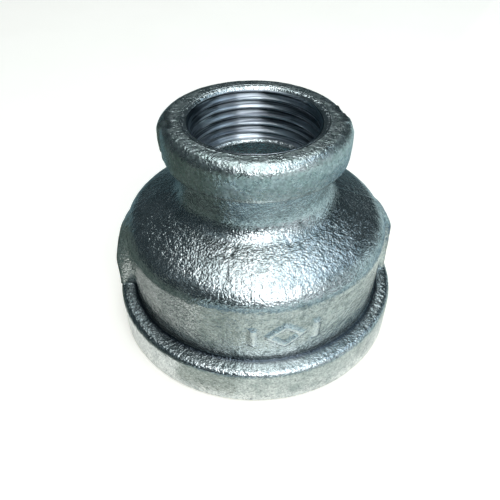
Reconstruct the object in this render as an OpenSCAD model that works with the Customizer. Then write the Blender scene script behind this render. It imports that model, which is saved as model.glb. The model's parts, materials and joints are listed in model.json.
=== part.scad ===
// Concentric reducing socket: one iron casting, with a female pipe thread in each end.
// Origin: centre of the large end face. +Z runs along the common axis to the small end.

/* [Overall] */
// Length from the large end face to the small end face
height = 57; // [55:0.5:66]

/* [Small end] */
// Radius of the small end collar at its fullest
bead_r = 22.6; // [21.5:0.1:24]
// Axial length of the small end collar
bead_h = 9.3; // [8:0.1:11]
// Rounding of the collar's top outer edge
rim_round = 3; // [1:0.5:4]
// Outer radius of the neck below the collar
neck_r = 18.3; // [18.1:0.1:20]
// Radius of the thread's crests (pipe thread size 1)
small_thread_r = 15.15; // [15.1:0.01:15.2]
// Full turns of thread
small_thread_turns = 5; // [4:1:6]
// Radius of the cast waterway beyond the thread
small_bore_r = 14.3; // [13:0.1:14.8]

/* [Large end] */
// Radius of the large end collar
band_r = 37.6; // [36:0.1:39]
// Axial length of the large end collar
band_h = 10.3; // [8:0.1:12]
// Outer radius of the barrel just above the collar
barrel_r = 33.1; // [32.5:0.1:33.5]
// Radius of the thread's crests (pipe thread size 2)
large_thread_r = 28.33; // [28.3:0.01:28.4]
// Full turns of thread
large_thread_turns = 7; // [6:1:8]
// Radius of the cast cavity beyond the thread
large_bore_r = 27.8; // [26:0.1:28]

/* [Shoulder] */
// Height at which the neck's foot meets the shoulder
neck_foot_z = 37.8; // [36:0.1:40]
// Height at which the shoulder's slope would meet the barrel
shoulder_z = 31.2; // [30:0.1:33]
// Outer radius at which the shoulder's slope would meet the barrel
shoulder_r = 33.8; // [33.1:0.1:34.4]
// Rounding between the shoulder and the barrel
shoulder_round = 6; // [4:0.5:9]
// Thickness of the shoulder's wall
shoulder_wall = 4.2; // [3.5:0.1:5]

/* [Wrench ribs and lugs] */
// Width of each rib
rib_w = 7; // [5:0.5:10]
// Radius of the ribs' outer faces
rib_r = 36.8; // [35.5:0.1:37.5]
// Height at which each rib's outer face ends and its top leans in
rib_top_z = 25.4; // [23:0.1:27]
// Width of each flat lug on the small end collar
lug_w = 8.8; // [6:0.2:12]
// Turn of the mould's parting line, which the ribs and lugs follow
parting_turn = 5; // [0:1:15]

/* [Raised mark] */
// How far the plain lozenge mark stands off the barrel
mark_raise = 0.5; // [0.3:0.1:0.8]
// Height of the mark's middle
mark_z = 18.9; // [17:0.1:21]
// Turn of the mark from the front
mark_turn = 12; // [-40:1:40]

/* [Hidden] */
$fn = 128;

// 55 degree pipe thread with 11 turns to the inch
pitch = 25.4 / 11;
thread_depth = 0.6403 * pitch;
flank = thread_depth * tan(27.5);
crest_flat = (pitch - 2 * flank) / 2;
end_land = 0.85;

// The sleeve of metal that holds each thread reaches to its mouth's chamfer
mouth_wall = thread_depth + 0.38;
small_mouth_r = small_thread_r + mouth_wall;
large_mouth_r = large_thread_r + mouth_wall;
small_thread_len = mouth_wall + small_thread_turns * pitch + end_land;
large_thread_len = mouth_wall + large_thread_turns * pitch + end_land;

bead_z = height - bead_h;
shoulder_rise = (neck_foot_z - shoulder_z) / (shoulder_r - neck_r);
arc_steps = 6;

// Height of the shoulder's inner face at radius r
function inner_shoulder_z(r) =
    neck_foot_z - (r - neck_r) * shoulder_rise
    - shoulder_wall * sqrt(1 + shoulder_rise * shoulder_rise);

function unit(v) = v / norm(v);

// Arc of radius r that rounds the corner at b, between a and c
function corner_arc(a, b, c, r) =
    let (
        u = unit(a - b),
        v = unit(c - b),
        half = acos(u * v) / 2,
        start = b + u * r / tan(half),
        centre = b + unit(u + v) * r / sin(half),
        turn = sign(u.x * v.y - u.y * v.x) * (2 * half - 180),
        arm = start - centre
    )
    [for (i = [0:arc_steps])
        let (t = turn * i / arc_steps)
        centre + [arm.x * cos(t) - arm.y * sin(t), arm.x * sin(t) + arm.y * cos(t)]];

// Closed outline from corners given as [radius, height, rounding]
function rounded(corners) =
    let (n = len(corners), p = [for (c = corners) [c.x, c.y]])
    [for (i = [0:n - 1])
        each corners[i].z == 0 ? [p[i]]
            : corner_arc(p[(i + n - 1) % n], p[i], p[(i + 1) % n], corners[i].z)];

casting_outline = [
    [small_mouth_r, height, 0],
    [bead_r - 0.3, height, rim_round],
    [bead_r, bead_z + bead_h * 0.45, 8],
    [bead_r - 0.4, bead_z, 1.6],
    [neck_r, bead_z - 0.5, 0.8],
    [neck_r, neck_foot_z, 3.5],
    [shoulder_r, shoulder_z, shoulder_round],
    [barrel_r, band_h + 0.3, 0.8],
    [band_r, band_h, 1.1],
    [band_r, 0, 0.7],
    [large_mouth_r, 0, 0],
    [large_mouth_r, large_thread_len, 0],
    [large_bore_r, large_thread_len, 0],
    [large_bore_r, inner_shoulder_z(large_bore_r), 5],
    [small_bore_r, inner_shoulder_z(small_bore_r), 3],
    [small_bore_r, height - small_thread_len, 0],
    [small_mouth_r, height - small_thread_len, 0]
];

// How far the roots of the ribs and lugs reach into the metal behind them
root_depth = 2.5;

// Upright rib: its top leans back into the shoulder
rib_outline = [
    [barrel_r - root_depth, band_h - 1, 0],
    [rib_r, band_h - 1, 0],
    [rib_r, rib_top_z, 2.5],
    [barrel_r - 0.3, shoulder_z, 1],
    [barrel_r - root_depth, shoulder_z, 0]
];

lug_outline = [
    [bead_r - root_depth, bead_z + 1.2, 0],
    [bead_r + 0.2, bead_z + 1.2, 0.8],
    [bead_r + 0.2, height - 0.2, 0.8],
    [bead_r - root_depth, height - 0.2, 0]
];

// Plate of the given outline, width w, standing in the XZ plane
module upright(outline, w) {
    rotate([90, 0, 0])
        linear_extrude(height = w, center = true)
            polygon(rounded(outline));
}

module lozenge(w, h) {
    polygon([[-w / 2, 0], [0, -h / 2], [w / 2, 0], [0, h / 2]]);
}

// Cone that follows the barrel's wall, standing off it by the given amount
module barrel_wall(off) {
    translate([0, 0, band_h])
        cylinder(r1 = barrel_r + off, r2 = shoulder_r + off, h = shoulder_z - band_h);
}

// Plain lozenge between two short bars, in low relief on the barrel
module raised_mark() {
    rotate([0, 0, mark_turn])
        intersection() {
            difference() {
                barrel_wall(mark_raise);
                barrel_wall(-1);
            }
            translate([0, 0, mark_z])
                rotate([90, 0, 0])
                    linear_extrude(height = band_r) {
                        difference() {
                            lozenge(10, 8);
                            lozenge(6, 4.8);
                        }
                        for (side = [-1, 1])
                            translate([side * 7.5 - 0.7, -3])
                                square([1.4, 6]);
                    }
        }
}

module casting() {
    color("#8d989b") {
        rotate_extrude()
            polygon(rounded(casting_outline));
        for (side = [0, 180])
            rotate([0, 0, parting_turn + side]) {
                upright(rib_outline, rib_w);
                upright(lug_outline, lug_w);
            }
        raised_mark();
    }
}

// Threaded sleeve with its mouth at z = 0, running down to z = -len
module thread_sleeve(crest_r, mouth_r, turns, len) {
    root_r = crest_r + thread_depth;
    first = -mouth_wall - crest_flat;
    rotate_extrude()
        polygon(concat(
            [[mouth_r, -len], [mouth_r, 0], [crest_r, -mouth_wall]],
            [for (i = [0:turns - 1])
                let (top = first - i * pitch)
                each [
                    [crest_r, top],
                    [root_r, top - flank],
                    [root_r, top - flank - crest_flat],
                    [crest_r, top - 2 * flank - crest_flat]
                ]],
            [[crest_r, -len]]
        ));
}

module small_end_thread() {
    color("#3c4043")
        translate([0, 0, height])
            thread_sleeve(small_thread_r, small_mouth_r, small_thread_turns, small_thread_len);
}

module large_end_thread() {
    color("#3c4043")
        mirror([0, 0, 1])
            thread_sleeve(large_thread_r, large_mouth_r, large_thread_turns, large_thread_len);
}

casting();
small_end_thread();
large_end_thread();
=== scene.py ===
"""Galvanised reducing socket: a rough zinc-coated casting with a bare pipe thread cut in each end."""

import json
import math

import bpy
import numpy as np
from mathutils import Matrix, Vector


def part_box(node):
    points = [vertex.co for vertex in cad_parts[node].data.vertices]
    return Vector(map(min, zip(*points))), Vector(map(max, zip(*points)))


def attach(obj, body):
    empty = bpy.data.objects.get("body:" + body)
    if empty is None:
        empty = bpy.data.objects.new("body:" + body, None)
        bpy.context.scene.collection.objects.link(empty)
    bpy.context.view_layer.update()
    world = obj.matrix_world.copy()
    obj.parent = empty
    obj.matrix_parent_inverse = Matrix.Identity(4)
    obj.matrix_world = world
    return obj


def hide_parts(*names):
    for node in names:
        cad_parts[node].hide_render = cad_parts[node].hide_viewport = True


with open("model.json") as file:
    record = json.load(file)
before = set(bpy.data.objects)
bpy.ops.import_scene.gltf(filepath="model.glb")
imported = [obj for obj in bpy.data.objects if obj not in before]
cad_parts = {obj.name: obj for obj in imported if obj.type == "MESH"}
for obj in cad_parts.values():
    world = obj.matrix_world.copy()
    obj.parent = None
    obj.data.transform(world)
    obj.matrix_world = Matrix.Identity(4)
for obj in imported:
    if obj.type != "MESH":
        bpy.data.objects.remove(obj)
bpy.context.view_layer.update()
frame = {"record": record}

MM = 0.001
casting_low, casting_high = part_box("casting")
HEIGHT = casting_high[2]
BAND_R = (casting_high[0] - casting_low[0]) / 2
mounts = {m["name"]: m for m in frame["record"]["mounts"]}

# 55 degree pipe thread, 11 turns to the inch
PITCH = 25.4 * MM / 11
THREAD_DEPTH = 0.6403 * PITCH
MOUTH_WALL = THREAD_DEPTH + 0.38 * MM

# The casting's own sizes
BEAD_R = 22.6 * MM
BEAD_Z = HEIGHT - 9.3 * MM
NECK_R = 18.3 * MM
NECK_FOOT_Z = 37.8 * MM
BARREL_R = 33.1 * MM
SHOULDER_R = 33.8 * MM
SHOULDER_Z = 31.2 * MM
BAND_H = 10.3 * MM
SMALL_BORE_R = 14.3 * MM
LARGE_BORE_R = 27.8 * MM
SHOULDER_WALL = 4.2 * MM
PARTING_TURN = math.radians(5)
RIB_R = 36.8 * MM
RIB_TOP_Z = 25.4 * MM
RIB_W = 7 * MM
LUG_W = 8.8 * MM
FRONT = math.radians(-90)

# Raised mark: a lozenge ring between two short bars
MARK_TURN = FRONT + math.radians(12)
MARK_Z = 18.9 * MM
MARK_RAISE = 0.6 * MM
LOZENGE_HALF_W, LOZENGE_HALF_H = 5, 4
LOZENGE_RING, LOZENGE_EDGE = 0.2, 0.12
BAR_AT, BAR_HALF_W, BAR_HALF_H, BAR_EDGE = 7.5, 0.8, 3, 0.5

# What the mould left: the sand's skin, pits, a shift between its halves, a fuller front half; and the
# reach of the painted shade in the corners
SKIN_DEPTH = 0.28 * MM
PIT_COUNT = 90
SWELL_SEED, SAND_SEED, PIT_SEED, LIP_SEED = 11, 23, 5, 41
BACK_SHIFT, FRONT_SHIFT = 0.55 * MM, 0.28 * MM
SHOULDER_FILL = 0.7 * MM
SHOULDER_FILL_REACH = 5 * MM
CORNER_SHADE_REACH = 0.9 * MM

# Rib faces: heights of their tops, inset, rounding of the top, easing of the sides, spread at a foot
RIGHT_RIB_TOP_Z, LEFT_RIB_TOP_Z = RIB_TOP_Z + 0.9 * MM, RIB_TOP_Z - 0.6 * MM
RIB_INSET = 0.35 * MM
RIB_EASE = 1.6 * MM
RIB_EDGE = 1.3 * MM
RIB_SPREAD = 1.05 * MM

# Lug faces: inset, lean at the top, easing of the sides, dip of the top
LUG_INSET = 0.25 * MM
RIGHT_LUG_LEAN, LEFT_LUG_LEAN = 1.6 * MM, 2 * MM
LUG_EDGE = 1.8 * MM
LUG_SINK = 0.1 * MM

# Thread as cut: rounded crests take a little off its depth, and a rough lip leads in
CUT_SHARE = 0.9
LIP_SLOPE = 5
LIP_REACH = 1.2 * MM
LIP_COAT_DEPTH = 0.7 * MM


# ---------------------------------------------------------------- numbers

def smooth_step(low, high, value):
    part = np.clip((value - low) / (high - low), 0, 1)
    return part * part * (3 - 2 * part)


def lattice_noise(points, seed):
    """Smooth random value from -1 to 1 at each point; a feature is about one unit wide."""
    cell = np.floor(points).astype(np.int64)
    part = points - cell
    ease = part * part * (3 - 2 * part)
    total = np.zeros(points.shape[:-1])
    for corner in np.ndindex(2, 2, 2):
        key = (cell + corner) * (73856093, 19349663, 83492791)
        mixed = (key[..., 0] ^ key[..., 1] ^ key[..., 2]) + seed * 40503
        mixed = (mixed ^ (mixed >> 13)) * 1274126177 & 0x7FFFFFFF
        mixed = (mixed ^ (mixed >> 15)) & 0xFFFF
        weight = np.prod(np.where(corner, ease, 1 - ease), axis=-1)
        total += weight * (mixed / 32767.5 - 1)
    return total


def layered_noise(points, size, layers, seed):
    """Several layers of noise; the coarsest feature is size wide."""
    total = np.zeros(points.shape[:-1])
    for layer in range(layers):
        total += lattice_noise(points * 2**layer / size, seed + layer) / 2**layer
    return total / (2 - 0.5 ** (layers - 1))


# ---------------------------------------------------------------- outline of the casting

def unit(v):
    return v / np.linalg.norm(v)


def corner_arc(before, corner, after, radius, step):
    """Points of the arc that rounds a corner of a polyline."""
    u, v = unit(before - corner), unit(after - corner)
    half = math.acos(np.clip(u @ v, -1, 1)) / 2
    start = corner + u * radius / math.tan(half)
    centre = corner + unit(u + v) * radius / math.sin(half)
    turn = math.copysign(math.pi - 2 * half, v[0] * u[1] - v[1] * u[0])
    count = max(4, round(abs(turn) * radius / step))
    arm = start - centre
    angles = turn * np.linspace(0, 1, count + 1)
    return [centre + (arm[0] * math.cos(a) - arm[1] * math.sin(a),
                      arm[0] * math.sin(a) + arm[1] * math.cos(a)) for a in angles]


def outline_rows(corners):
    """Closed outline as rows of radius, height and roughness.

    A corner is (radius, height, rounding, row step, roughness), and its last two
    hold for the stretch that leaves it.
    """
    spots = [np.array(c[:2]) for c in corners]
    rows = []
    for i, (_, _, rounding, step, rough) in enumerate(corners):
        before, after = spots[i - 1], spots[(i + 1) % len(spots)]
        if rounding:
            rows += [(*p, rough) for p in corner_arc(before, spots[i], after, rounding, step)]
        else:
            rows.append((*spots[i], rough))
        end = after
        if corners[(i + 1) % len(corners)][2]:
            beyond = spots[(i + 2) % len(spots)]
            end = corner_arc(spots[i], after, beyond, corners[(i + 1) % len(corners)][2], step)[0]
        start = np.array(rows[-1][:2])
        count = max(1, round(np.linalg.norm(end - start) / step))
        rows += [(*(start + (end - start) * k / count), rough) for k in range(1, count)]
    return np.array(rows)


SHOULDER_RISE = (NECK_FOOT_Z - SHOULDER_Z) / (SHOULDER_R - NECK_R)


def inner_shoulder_z(r):
    drop = SHOULDER_WALL * math.sqrt(1 + SHOULDER_RISE**2)
    return NECK_FOOT_Z - (r - NECK_R) * SHOULDER_RISE - drop


def thread_size(name):
    """Crest radius, mouth radius and sleeve length of a stated thread."""
    dims = mounts[name]["dims"]
    crest = dims["r_mm"] * MM
    return crest, crest + MOUTH_WALL, dims["length_mm"] * MM + MOUTH_WALL


SMALL_CREST_R, SMALL_MOUTH_R, SMALL_LEN = thread_size("small_end_thread")
LARGE_CREST_R, LARGE_MOUTH_R, LARGE_LEN = thread_size("large_end_thread")

# Row steps of the casting's mesh, and its columns round the axis
FINE, MIDDLE, COARSE = 0.45 * MM, 1.1 * MM, 6 * MM
CAST_COLUMNS = 440

# Radius, height, rounding, row step and roughness of each corner
CASTING_CORNERS = [
    (SMALL_MOUTH_R, HEIGHT, 0, FINE, 0.7),
    (BEAD_R - 0.3 * MM, HEIGHT, 3 * MM, FINE, 1),
    (BEAD_R, BEAD_Z + 4.2 * MM, 8 * MM, FINE, 1),
    (BEAD_R - 0.4 * MM, BEAD_Z, 1.6 * MM, FINE, 1),
    (NECK_R, BEAD_Z - 0.5 * MM, 0.8 * MM, FINE, 1),
    (NECK_R, NECK_FOOT_Z - 0.5 * MM, 5.5 * MM, FINE, 1),
    (SHOULDER_R, SHOULDER_Z, 6 * MM, FINE, 1),
    (BARREL_R, BAND_H + 0.3 * MM, 0.8 * MM, FINE, 1),
    (BAND_R, BAND_H, 1.5 * MM, FINE, 1),
    (BAND_R, 0, 0.7 * MM, FINE, 0.8),
    (LARGE_MOUTH_R, 0, 0, COARSE, 0),
    (LARGE_MOUTH_R, LARGE_LEN, 0, COARSE, 0),
    (LARGE_BORE_R, LARGE_LEN, 0, MIDDLE, 1),
    (LARGE_BORE_R, inner_shoulder_z(LARGE_BORE_R), 5 * MM, MIDDLE, 1),
    (SMALL_BORE_R, inner_shoulder_z(SMALL_BORE_R), 3 * MM, MIDDLE, 1),
    (SMALL_BORE_R, HEIGHT - SMALL_LEN, 0, MIDDLE, 0),
    (SMALL_MOUTH_R, HEIGHT - SMALL_LEN, 0, COARSE, 0),
]


# ---------------------------------------------------------------- meshes

def ring_mesh(name, points, marks):
    """Closed mesh from a grid of points that joins up both ways; marks are vertex values."""
    rows, columns, _ = points.shape
    index = np.arange(rows * columns).reshape(rows, columns)
    below, right = np.roll(index, -1, axis=0), np.roll(index, -1, axis=1)
    corner = np.roll(below, -1, axis=1)
    faces = np.stack([index, below, corner, right], axis=-1).reshape(-1, 4)
    mesh = bpy.data.meshes.new(name)
    mesh.from_pydata(points.reshape(-1, 3).tolist(), [], faces.tolist())
    mesh.shade_smooth()
    for key, values in marks.items():
        layer = mesh.attributes.new(key, "FLOAT", "POINT")
        layer.data.foreach_set("value", values.astype(np.float32).ravel())
    piece = bpy.data.objects.new(name, mesh)
    bpy.context.collection.objects.link(piece)
    return piece


def around(turn, angle):
    """Turn from one angle to another, between -pi and pi."""
    return (turn - angle + math.pi) % (2 * math.pi) - math.pi


def plateau(distance, half_width, edge):
    """1 within half_width of the middle, easing to 0 over the edge."""
    return 1 - smooth_step(half_width - edge / 2, half_width + edge / 2, np.abs(distance))


def rib_reach(z, top_z, flare):
    """Radius of a rib's outer face, whose top leans back into the shoulder."""
    slope = (RIB_R - BARREL_R + 0.3 * MM) / (SHOULDER_Z - top_z)
    above = z - top_z
    eased = (above + np.hypot(above, RIB_EASE)) / 2
    flare = flare * smooth_step(top_z + 1 * MM, top_z - 7 * MM, z)
    buried = 4 * np.maximum(z - SHOULDER_Z + 1.5 * MM, 0)
    return RIB_R - RIB_INSET + flare - slope * eased - buried


def add_ribs(r, z, turn):
    """Two upright ribs on the barrel; one is cast a little taller, the other stands out more."""
    for side, top_z, flare in ((0, RIGHT_RIB_TOP_Z, 0), (math.pi, LEFT_RIB_TOP_Z, RIB_SPREAD)):
        reach = rib_reach(z, top_z, flare)
        across = around(turn, PARTING_TURN + side)
        facing = np.abs(across) < 1
        share = plateau(r * np.sin(across), RIB_W / 2, RIB_EDGE) * facing * 0.985
        share = share * (z > BAND_H - 0.15 * MM)
        r = r + np.maximum(reach / np.cos(across * facing) - r, 0) * share
    return r


def add_lugs(r, z, turn):
    """Two flat pads on the small end collar, on the same parting line as the ribs."""
    sunk = np.zeros_like(r)
    for side, lean in ((0, RIGHT_LUG_LEAN), (math.pi, LEFT_LUG_LEAN)):
        reach = BEAD_R - LUG_INSET - smooth_step(HEIGHT - 3 * MM, HEIGHT, z) * lean
        across = around(turn, PARTING_TURN + side)
        facing = np.abs(across) < 1
        share = plateau(r * np.sin(across), LUG_W / 2, LUG_EDGE) * facing
        share = share * smooth_step(BEAD_Z + 0.8 * MM, BEAD_Z + 1.8 * MM, z)
        filled = np.maximum(reach / np.cos(across * facing) - r, 0) * (r > BEAD_R - 3.4 * MM)
        r = r + filled * share
        sunk = np.maximum(sunk, share * smooth_step(SMALL_MOUTH_R, SMALL_MOUTH_R + 1.2 * MM, r))
    return r, z - sunk * LUG_SINK * (z > HEIGHT - 1 * MM)


def mould_shift(points, r, z, turn, outer_side):
    """Slide each half of the outside along the parting line, as a shifted mould leaves it."""
    half = np.tanh(r * np.sin(turn - PARTING_TURN) / (0.5 * MM))
    slide = np.where(half > 0, -BACK_SHIFT, -FRONT_SHIFT) * half * outer_side
    height_share = 0.3 * smooth_step(22 * MM, 34 * MM, z) + 0.7 * smooth_step(42 * MM, 49 * MM, z)
    rim_share = smooth_step(SMALL_MOUTH_R + 0.2 * MM, SMALL_MOUTH_R + 2.4 * MM, r)
    slide = slide * height_share * rim_share
    points[..., 0] += slide * math.cos(PARTING_TURN)
    points[..., 1] += slide * math.sin(PARTING_TURN)


def fuller_shoulder(r, z, turn):
    """How much the front half of the mould fills out the shoulder's corner, from 0 to 1."""
    near = np.exp(-((r - SHOULDER_R) ** 2 + (z - SHOULDER_Z) ** 2) / SHOULDER_FILL_REACH**2)
    return near * np.clip(-np.sin(turn - math.radians(20)), 0, 1)


def raised_mark(z, turn):
    """Height, from 0 to 1, of a plain lozenge ring between two short bars."""
    across, up = around(turn, MARK_TURN) * BARREL_R / MM, (z - MARK_Z) / MM
    lozenge = np.abs(across) / LOZENGE_HALF_W + np.abs(up) / LOZENGE_HALF_H
    ring = plateau(lozenge - 1 + LOZENGE_RING, LOZENGE_RING, LOZENGE_EDGE)
    bars = plateau(np.abs(across) - BAR_AT, BAR_HALF_W, BAR_EDGE)
    return np.maximum(ring, bars * plateau(up, BAR_HALF_H, BAR_EDGE))


def pits(points, count, seed):
    """Depth, from 0 to 1, of small round pits scattered over the outside."""
    chance = np.random.default_rng(seed)
    turns = chance.uniform(0, 2 * math.pi, count)
    heights = chance.uniform(0.05, 1, count) * HEIGHT
    sizes = chance.uniform(0.35, 0.8, count) * MM
    depth = np.zeros(points.shape[:-1])
    radius = np.hypot(points[..., 0], points[..., 1])
    turn = np.arctan2(points[..., 1], points[..., 0])
    for at, height, size in zip(turns, heights, sizes):
        gap = (around(turn, at) * radius) ** 2 + (points[..., 2] - height) ** 2
        near = gap < (3 * size) ** 2
        depth[near] = np.maximum(depth[near], np.exp(-gap[near] / size**2))
    return depth


def cast_skin(points, r, turn, outer_side):
    """How far the sand-cast skin lies under the outline, as a negative share of its depth."""
    swell = layered_noise(points, 7 * MM, 2, SWELL_SEED) * 0.24
    sand = layered_noise(points, 1.2 * MM, 1, SAND_SEED) * 0.13
    parting = sum(
        np.exp(-(around(turn, PARTING_TURN + side) * r / (0.4 * MM)) ** 2) for side in (0, math.pi)
    )
    hollow = pits(points, PIT_COUNT, PIT_SEED) * outer_side
    return np.minimum(-0.5 + swell + sand + 0.3 * parting * outer_side - 0.5 * hollow, 0)


def mark_on_barrel(r, z, turn):
    """The raised mark, on the barrel's wall only."""
    wall_r = BARREL_R + (SHOULDER_R - BARREL_R) * (z - BAND_H) / (SHOULDER_Z - BAND_H)
    return raised_mark(z, turn) * (np.abs(r - wall_r) < 1 * MM)


def painted_corner_shade(r, z):
    """Painted shade, from 0 to 1, in the corners where the collars meet the barrel and the neck."""
    corners = [(BARREL_R + 0.3 * MM, BAND_H + 0.3 * MM), (NECK_R + 0.6 * MM, BEAD_Z - 0.4 * MM)]
    gaps = [(r - at_r) ** 2 + (z - at_z) ** 2 for at_r, at_z in corners]
    dirt = sum(np.exp(-gap / CORNER_SHADE_REACH**2) for gap in gaps)
    return np.clip(dirt, 0, 1)


def build_casting():
    """The outline turned round the axis, with ribs, lugs, mark and cast skin."""
    rows = outline_rows(CASTING_CORNERS)
    ahead, behind = np.roll(rows, -1, axis=0), np.roll(rows, 1, axis=0)
    along = (ahead - behind)[:, :2]
    along /= np.linalg.norm(along, axis=1, keepdims=True)
    turn = np.linspace(0, 2 * math.pi, CAST_COLUMNS, endpoint=False)[None, :]
    shape = (len(rows), CAST_COLUMNS)
    r = np.broadcast_to(rows[:, 0:1], shape).copy()
    z = np.broadcast_to(rows[:, 1:2], shape).copy()
    rough = np.broadcast_to(rows[:, 2:3], shape)
    out_r, out_z = -along[:, 1:2], along[:, 0:1]
    outer_side = (r > NECK_R - 1 * MM) & ((out_r > -0.05) | (out_z > 0.3)) & (rough > 0)

    r = np.where(outer_side, add_ribs(r, z, turn), r)
    lug_r, lug_z = add_lugs(r, z, turn)
    near_top = outer_side & (z > BEAD_Z)
    r, z = np.where(near_top, lug_r, r), np.where(near_top, lug_z, z)
    fuller = fuller_shoulder(r, z, turn) * outer_side * SHOULDER_FILL
    r, z = r + fuller, z - fuller
    points = np.stack([r * np.cos(turn), r * np.sin(turn), z], axis=-1)

    mark = mark_on_barrel(r, z, turn) * outer_side
    move = SKIN_DEPTH * cast_skin(points, r, turn, outer_side) * rough + mark * MARK_RAISE
    points[..., 0] += move * out_r * np.cos(turn)
    points[..., 1] += move * out_r * np.sin(turn)
    points[..., 2] += move * out_z
    points[..., 2] = np.clip(points[..., 2], 0, HEIGHT)
    mould_shift(points, r, z, turn, outer_side)

    weathered = smooth_step(BEAD_Z - 2 * MM, BEAD_Z + 3 * MM, z) * outer_side
    # Colour marks: painted shade in the corners and a painted highlight on the raised mark, besides
    # the weathered top
    marks = {"painted_corner_shade": painted_corner_shade(r, z) * outer_side, "weathered": weathered, "painted_mark_highlight": mark}
    return ring_mesh("galvanised_casting", points, marks)


def groove_depth(step):
    """Depth of the thread from its crest, as a part of the whole, with rounded crests and roots."""
    from_middle = np.abs((step - np.floor(step)) * 2 - 1) - 0.5
    slope = PITCH / 2 / (THREAD_DEPTH / 2 * math.tan(math.radians(27.5)))
    straight = from_middle * slope
    return 0.5 + 0.5 * straight / (1 + straight**4) ** 0.25


def build_thread(name, crest_r, mouth_r, length, columns, rows_per_turn, mouth_z, way):
    """Sleeve of metal with a helical pipe thread; the mouth is at mouth_z and way points in."""
    turn = np.linspace(0, 2 * math.pi, columns, endpoint=False)[None, :]
    count = round(length / PITCH * rows_per_turn)
    depth = np.linspace(0, length, count)[:, None] + 0 * turn
    cut = groove_depth(depth / PITCH - way * turn / (2 * math.pi))
    fade = smooth_step(length, length - 1.1 * PITCH, depth)
    lip = np.maximum(mouth_r - LIP_SLOPE * depth, crest_r + LIP_REACH - depth)
    r = np.maximum(crest_r + CUT_SHARE * THREAD_DEPTH * cut * fade, lip)
    around_bore = np.stack([r * np.cos(turn), r * np.sin(turn), depth], axis=-1)
    wear = layered_noise(around_bore, 1.2 * MM, 2, LIP_SEED) * (0.02 + 0.06 * (lip > crest_r)) * MM
    r = r + wear * (depth > 0.05 * MM)

    skin_depth = np.linspace(length, 0, 5)[:, None] + 0 * turn
    skin_depth[0] -= 0.01 * MM
    # Painted shade: the thread's roots are marked to be coloured near black in the iron
    painted_root_shade = smooth_step(0.82, 1.0, cut * fade) * (depth > 0.6 * MM)
    painted_root_shade = np.concatenate([painted_root_shade, 0 * skin_depth])
    r = np.concatenate([r, mouth_r + 0.004 * MM + 0 * skin_depth])
    z = mouth_z + way * np.concatenate([depth, skin_depth])
    grid = np.stack([r * np.cos(turn), r * np.sin(turn), z], axis=-1)
    if way > 0:
        grid, painted_root_shade = grid[:, ::-1], painted_root_shade[:, ::-1]
    return ring_mesh(name, grid, {"painted_root_shade": painted_root_shade})


def dress_lip(piece, mouth_z, material):
    """Give the rough lip of a sleeve the coat of the casting round it."""
    piece.data.materials.append(material)
    for face in piece.data.polygons:
        if abs(face.center[2] - mouth_z) < LIP_COAT_DEPTH:
            face.material_index = 1


# ---------------------------------------------------------------- materials

class Shader:
    """A material's node tree with a few short ways to add nodes."""

    def __init__(self, name):
        self.material = bpy.data.materials.new(name)
        self.material.use_nodes = True
        self.nodes = self.material.node_tree.nodes
        self.links = self.material.node_tree.links
        self.surface = self.nodes["Principled BSDF"]
        coordinates = self.add("ShaderNodeTexCoord")
        self.place = self.vector("MULTIPLY", coordinates.outputs["Object"], (1000, 1000, 1000))

    def add(self, kind, **settings):
        node = self.nodes.new(kind)
        for key, value in settings.items():
            setattr(node, key, value)
        return node

    def join(self, source, target):
        self.links.new(source, target)

    def vector(self, operation, source, values):
        node = self.add("ShaderNodeVectorMath", operation=operation)
        self.join(source, node.inputs[0])
        node.inputs[1].default_value = values
        return node.outputs[0]

    def noise(self, size, detail=2.0, rough=0.5, place=None):
        """Noise whose features are about size millimetres wide."""
        node = self.add("ShaderNodeTexNoise")
        node.inputs["Scale"].default_value = 1 / size
        node.inputs["Detail"].default_value = detail
        node.inputs["Roughness"].default_value = rough
        self.join(place or self.place, node.inputs["Vector"])
        return node.outputs["Fac"]

    def ramp(self, source, stops):
        """Colour ramp through (position, colour or grey) stops."""
        node = self.add("ShaderNodeValToRGB")
        elements = node.color_ramp.elements
        while len(elements) < len(stops):
            elements.new(0.5)
        for element, (position, value) in zip(elements, stops):
            element.position = position
            colour = value if isinstance(value, tuple) else (value,) * 3
            element.color = (*colour, 1)
        self.join(source, node.inputs["Fac"])
        return node.outputs["Color"]

    def mix(self, factor, first, second, blend="MIX"):
        node = self.add("ShaderNodeMix", data_type="RGBA", blend_type=blend)
        for value, socket in ((factor, 0), (first, 6), (second, 7)):
            if isinstance(value, bpy.types.NodeSocket):
                self.join(value, node.inputs[socket])
            elif socket == 0:
                node.inputs[0].default_value = value
            else:
                node.inputs[socket].default_value = (*value, 1)
        return node.outputs[2]

    def math(self, operation, first, second):
        node = self.add("ShaderNodeMath", operation=operation)
        for value, socket in ((first, 0), (second, 1)):
            if isinstance(value, bpy.types.NodeSocket):
                self.join(value, node.inputs[socket])
            else:
                node.inputs[socket].default_value = value
        return node.outputs[0]

    def attribute(self, name):
        return self.add("ShaderNodeAttribute", attribute_name=name).outputs["Fac"]

    def bump(self, height, distance, strength, under=None):
        """Bump whose full height is distance millimetres."""
        node = self.add("ShaderNodeBump")
        node.inputs["Distance"].default_value = distance * MM
        node.inputs["Strength"].default_value = strength
        self.join(height, node.inputs["Height"])
        if under is not None:
            self.join(under, node.inputs["Normal"])
        return node.outputs["Normal"]

    def finish(self, colour, roughness, normal, metallic):
        self.join(colour, self.surface.inputs["Base Color"])
        self.join(roughness, self.surface.inputs["Roughness"])
        self.join(normal, self.surface.inputs["Normal"])
        self.surface.inputs["Metallic"].default_value = metallic
        return self.material


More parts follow.
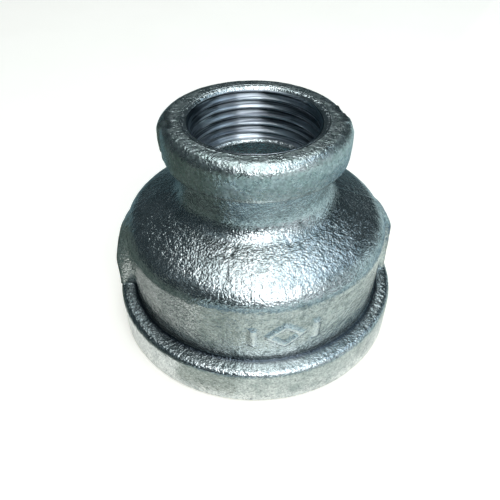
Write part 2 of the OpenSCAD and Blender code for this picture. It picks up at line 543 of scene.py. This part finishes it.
def zinc_coat():
    """Hot-dip zinc over sand-cast iron: grainy, blue grey, dull in patches, with painted shade in the
    corners and a painted highlight on the raised mark.
    """
    s = Shader("zinc_coat")
    broad = s.noise(11, detail=3, rough=0.6)
    patches = s.noise(3.2, detail=4, rough=0.65)
    colour = s.ramp(broad, [(0.3, (0.60, 0.65, 0.64)), (0.7, (0.78, 0.81, 0.79))])
    dull = s.ramp(patches, [(0.47, 0.0), (0.66, 0.6)])
    colour = s.mix(dull, colour, (0.32, 0.38, 0.37))
    specks = s.ramp(s.noise(0.9, detail=2), [(0.63, 0.0), (0.72, 0.6)])
    colour = s.mix(specks, colour, (0.12, 0.15, 0.14))
    weathered = s.attribute("weathered")
    worn = s.ramp(s.noise(1.5, detail=4, rough=0.65), [(0.40, 0.15), (0.62, 0.85)])
    colour = s.mix(s.math("MULTIPLY", worn, weathered), colour, (0.46, 0.54, 0.50))
    grain = s.ramp(s.noise(0.55, detail=2), [(0.38, 0.70), (0.58, 1.0)])
    colour = s.mix(1.0, colour, grain, blend="MULTIPLY")
    # Painted highlight: the raised mark's colour is lightened all over
    colour = s.mix(s.math("MULTIPLY", s.attribute("painted_mark_highlight"), 0.7), colour, (0.90, 0.93, 0.93))
    # Painted shade: near-black blue in the corners where the collars meet the barrel and the neck
    colour = s.mix(s.attribute("painted_corner_shade"), colour, (0.04, 0.055, 0.07))
    roughness = s.ramp(s.noise(1.7, detail=3), [(0.3, 0.12), (0.7, 0.24)])
    roughness = s.math("ADD", roughness, s.math("MULTIPLY", weathered, 0.10))
    normal = s.bump(s.noise(1.0, detail=1), 0.16, 1.0)
    normal = s.bump(s.noise(0.42, detail=1, rough=0.6), 0.13, 1.0, under=normal)
    return s.finish(colour, roughness, normal, 0.95)


def cut_iron():
    """Bare iron from a tap: dark, with fine lines round the bore and painted shade in the thread
    roots.
    """
    s = Shader("cut_iron")
    lines_at = s.vector("MULTIPLY", s.place, (0.05, 0.05, 2.6))
    lines = s.noise(1.0, detail=1, place=lines_at)
    blotches = s.noise(2.5, detail=3)
    colour = s.ramp(lines, [(0.38, (0.20, 0.22, 0.25)), (0.58, (0.72, 0.77, 0.81))])
    # Painted shade: near-black colour in the thread's roots
    colour = s.mix(s.math("MULTIPLY", s.attribute("painted_root_shade"), 0.9), colour, (0.02, 0.03, 0.035))
    roughness = s.ramp(blotches, [(0.3, 0.32), (0.7, 0.38)])
    normal = s.bump(lines, 0.07, 1.0)
    tangent = s.add("ShaderNodeTangent", direction_type="RADIAL", axis="Z")
    s.join(tangent.outputs[0], s.surface.inputs["Tangent"])
    s.surface.inputs["Anisotropic"].default_value = 1.0
    s.surface.inputs["Anisotropic Rotation"].default_value = 0.25
    return s.finish(colour, roughness, normal, 1.0)


def plain_paper(name, first, second, glow):
    """Matt paper between two near colours; it glows softly where it stands for a lit table."""
    s = Shader(name)
    colour = s.ramp(s.noise(40, detail=2), [(0.3, first), (0.7, second)])
    roughness = s.ramp(s.noise(15), [(0.3, 0.75), (0.7, 0.85)])
    normal = s.bump(s.noise(0.6, detail=2), 0.02, 0.2)
    s.surface.inputs["Emission Color"].default_value = (1.0, 0.97, 0.90, 1)
    s.surface.inputs["Emission Strength"].default_value = glow
    return s.finish(colour, roughness, normal, 0.0)


# ---------------------------------------------------------------- the object

casting = build_casting()
zinc = zinc_coat()
casting.data.materials.append(zinc)
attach(casting, "root")
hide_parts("casting")

iron = cut_iron()
small_thread = build_thread("small_end_cut_thread", SMALL_CREST_R, SMALL_MOUTH_R, SMALL_LEN,
                            columns=360, rows_per_turn=24, mouth_z=HEIGHT, way=-1)
large_thread = build_thread("large_end_cut_thread", LARGE_CREST_R, LARGE_MOUTH_R, LARGE_LEN,
                            columns=420, rows_per_turn=18, mouth_z=0.0, way=1)
sleeves = ((small_thread, "small_end_thread", HEIGHT), (large_thread, "large_end_thread", 0.0))
for piece, node, mouth_z in sleeves:
    piece.data.materials.append(iron)
    dress_lip(piece, mouth_z, zinc)
    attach(piece, "root")
    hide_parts(node)


# ---------------------------------------------------------------- floor, lights and camera

LIGHT_DISTANCE = 0.80
CARD_LIFT = 0.3 * MM


def add_stage(name, corners, faces, paper):
    mesh = bpy.data.meshes.new(name)
    mesh.from_pydata(corners, [], faces)
    mesh.materials.append(paper)
    stage = bpy.data.objects.new(name, mesh)
    bpy.context.collection.objects.link(stage)
    return stage


def add_floor(half=2.0):
    corners = [(-half, -half, 0), (half, -half, 0), (half, half, 0), (-half, half, 0)]
    paper = plain_paper("pale_paper", (0.83, 0.80, 0.74), (0.86, 0.83, 0.77), glow=0.42)
    add_stage("floor", corners, [(0, 1, 2, 3)], paper)


def add_backdrop(radius=1.9, height=1.8, count=48):
    """A pale wall round the floor, which only the camera sees."""
    turns = [2 * math.pi * i / count for i in range(count)]
    corners = [(radius * math.cos(a), radius * math.sin(a), z) for z in (0, height) for a in turns]
    faces = [(i, (i + 1) % count, (i + 1) % count + count, i + count) for i in range(count)]
    paper = plain_paper("wall_paper", (0.80, 0.80, 0.78), (0.83, 0.83, 0.81), glow=0.80)
    wall = add_stage("backdrop", corners, faces, paper)
    wall.visible_diffuse = False
    wall.visible_glossy = False
    wall.visible_shadow = False


def add_card(name, first, last, inner, outer, colour, glow, count=24):
    """A duller card on the floor, between two azimuths and two radii, which only reflections see."""
    turns = [math.radians(first + (last - first) * i / count) for i in range(count + 1)]
    corners = [(r * math.cos(a), r * math.sin(a), CARD_LIFT) for r in (inner, outer) for a in turns]
    faces = [(i, i + count + 1, i + count + 2, i + 1) for i in range(count)]
    lighter = tuple(1.06 * part for part in colour)
    card = add_stage(name, corners, faces, plain_paper(name, colour, lighter, glow))
    card.visible_camera = False
    card.visible_diffuse = False
    card.visible_shadow = False


def add_softbox(name, azimuth, elevation, width, height, power, colour):
    """Area light aimed at the object from the given direction, in degrees."""
    light = bpy.data.lights.new(name, "AREA")
    light.shape = "RECTANGLE"
    light.size, light.size_y = width, height
    light.energy = power
    light.color = colour
    lamp = bpy.data.objects.new(name, light)
    az, el = math.radians(azimuth), math.radians(elevation)
    lamp.location = (LIGHT_DISTANCE * math.cos(el) * math.cos(az),
                     LIGHT_DISTANCE * math.cos(el) * math.sin(az),
                     HEIGHT / 2 + LIGHT_DISTANCE * math.sin(el))
    lamp.rotation_euler = (math.pi / 2 - el, 0, az + math.pi / 2)
    bpy.context.collection.objects.link(lamp)


def add_camera(back, up, pitch, lens, shift):
    camera = bpy.data.objects.new("camera", bpy.data.cameras.new("camera"))
    camera.data.sensor_width = 36
    camera.data.lens = lens
    camera.data.shift_x, camera.data.shift_y = shift
    camera.data.clip_start = 0.005
    camera.location = (0, -back, up)
    camera.rotation_euler = (math.pi / 2 - pitch, 0, 0)
    bpy.context.collection.objects.link(camera)
    bpy.context.scene.camera = camera


def add_world(colour, strength):
    world = bpy.data.worlds.new("studio")
    world.use_nodes = True
    background = world.node_tree.nodes["Background"]
    background.inputs["Color"].default_value = (*colour, 1)
    background.inputs["Strength"].default_value = strength
    bpy.context.scene.world = world


# Name, first and last azimuth, inner and outer radius, colour and glow
CARDS = [
    ("card_foot", -98, -42, 0.039, 0.046, (0.74, 0.75, 0.67), 0.14),
    ("card_foot_right", -42, 60, 0.039, 0.046, (0.62, 0.64, 0.57), 0.07),
    ("card_foot_left", -125, -98, 0.039, 0.046, (0.62, 0.62, 0.53), 0.02),
    ("card_near", -98, -42, 0.046, 0.062, (0.55, 0.60, 0.53), 0.24),
    ("card_near_right", -42, 60, 0.046, 0.062, (0.60, 0.65, 0.57), 0.32),
    ("card_near_left", -125, -98, 0.046, 0.062, (0.42, 0.46, 0.39), 0.08),
    ("card_middle", -125, 60, 0.062, 0.078, (0.11, 0.19, 0.26), 0.0),
    ("card_middle_left", -125, -98, 0.078, 0.120, (0.11, 0.19, 0.26), 0.0),
    ("card_middle_outer", -98, 60, 0.078, 0.120, (0.32, 0.44, 0.46), 0.0),
    ("card_far", -125, 60, 0.120, 1.9, (0.76, 0.90, 0.88), 0.0),
    ("card_back", 60, 145, 0.047, 1.9, (0.16, 0.26, 0.28), 0.0),
    ("card_left", 145, 235, 0.047, 1.9, (0.09, 0.12, 0.10), 0.0),
    ("card_under", 0, 360, 0.0005, 0.0365, (0.32, 0.84, 1.0), 0.04),
]

# Name, azimuth, elevation, width, height, power and colour
SOFTBOXES = [
    ("window_low", -50, 8, 0.90, 0.20, 0.55, (0.86, 0.92, 1.0)),
    ("window_high", -76, 50, 0.48, 0.66, 3.0, (0.90, 0.95, 1.0)),
    ("window_wide", -58, 38, 1.00, 0.36, 1.35, (0.82, 0.92, 1.0)),
    ("overhead", -90, 96, 0.50, 0.90, 3.1, (0.91, 0.96, 1.0)),
    ("right_high", 0, 60, 0.40, 0.40, 0.70, (0.62, 0.82, 1.0)),
    ("right_low", 4, 16, 0.36, 0.36, 0.46, (0.72, 0.92, 1.0)),
    ("left_high", 218, 52, 0.40, 0.40, 0.16, (0.75, 0.90, 1.0)),
    ("back", 90, 66, 0.60, 0.32, 0.35, (0.70, 0.94, 1.0)),
]

add_floor()
add_backdrop()
for card in CARDS:
    add_card(*card)
add_world((0.36, 0.76, 0.98), 0.034)
for softbox in SOFTBOXES:
    add_softbox(*softbox)
add_camera(back=0.1150, up=0.1153, pitch=0.709, lens=39.44, shift=(-0.0106, 0))
bpy.context.scene.view_settings.view_transform = "Standard"
